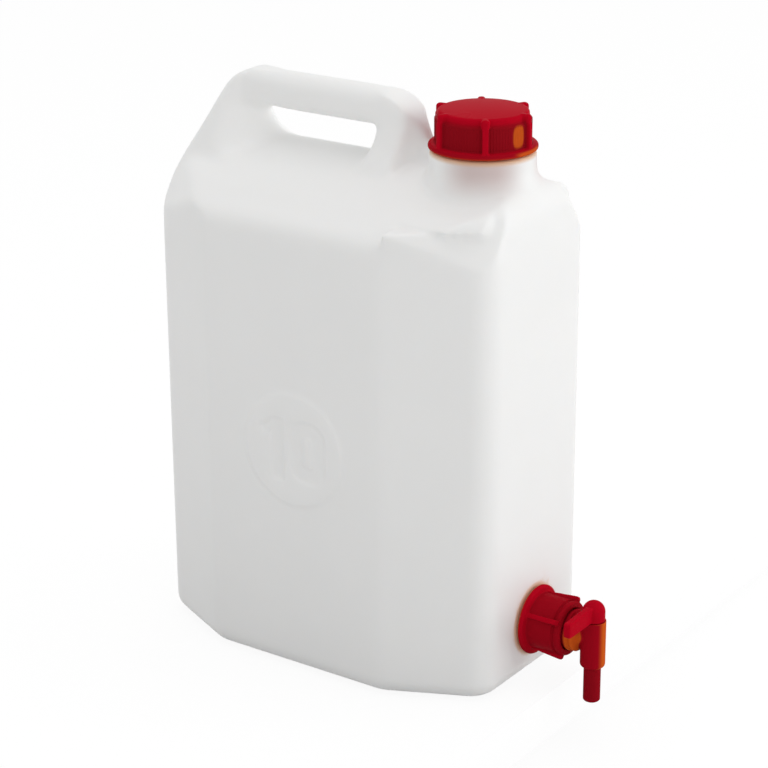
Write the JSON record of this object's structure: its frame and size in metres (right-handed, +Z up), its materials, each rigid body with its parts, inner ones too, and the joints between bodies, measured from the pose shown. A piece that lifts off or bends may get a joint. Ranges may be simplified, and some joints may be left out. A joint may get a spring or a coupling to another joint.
{
  "type": "plastic jerrycan",
  "caption": "Upright rectangular plastic jerrycan with an integral top handle, a screw-capped filler neck and a dispensing tap low on its end.",
  "frame": {"origin": "centre of the can body's flat base", "axes": "+Z up, +X along the can towards the end with the tap, -Y towards the panel with the round field"},
  "size_m": [0.2889, 0.1598, 0.355],
  "materials": {
    "white_polyethylene": "satin",
    "red_polypropylene": "glossy",
    "foam_seal": "matte",
    "rubber_seal": "matte"
  },
  "bodies": {
    "can": {"can_body": "white_polyethylene"},
    "liner": {"cap_liner": "foam_seal"},
    "cap": {"filler_cap": "red_polypropylene"},
    "tap": {"tap_housing": "red_polypropylene", "tap_washer": "rubber_seal"},
    "nut": {"tap_nut": "red_polypropylene"},
    "key": {"tap_key": "red_polypropylene"}
  },
  "joints": [
    {"name": "cap_rise", "type": "slide", "parent": "can", "child": "liner", "axis": [0, 0, 1], "range_m": [0, 0.0211]},
    {"name": "cap_turn", "type": "hinge", "parent": "liner", "child": "cap", "pos_m": [0.0805, 0, 0.33], "axis": [0, 0, 1], "range_deg": [0, 1260]},
    {"name": "tap_draw", "type": "slide", "parent": "can", "child": "tap", "axis": [1, 0, 0], "range_m": [0, 0.0161]},
    {"name": "nut_turn", "type": "hinge", "parent": "tap", "child": "nut", "pos_m": [0.13, 0, 0.0359], "axis": [1, 0, 0], "range_deg": [0, 1440]},
    {"name": "key_turn", "type": "hinge", "parent": "tap", "child": "key", "pos_m": [0.1613, 0, 0.0359], "axis": [0, 0, 1], "range_deg": [0, 90]}
  ],
  "couplings": [
    {"joint": "cap_rise", "follows": "cap_turn", "m_per_rad": 0.00095493},
    {"joint": "tap_draw", "follows": "nut_turn", "m_per_rad": 0.00063662}
  ]
}
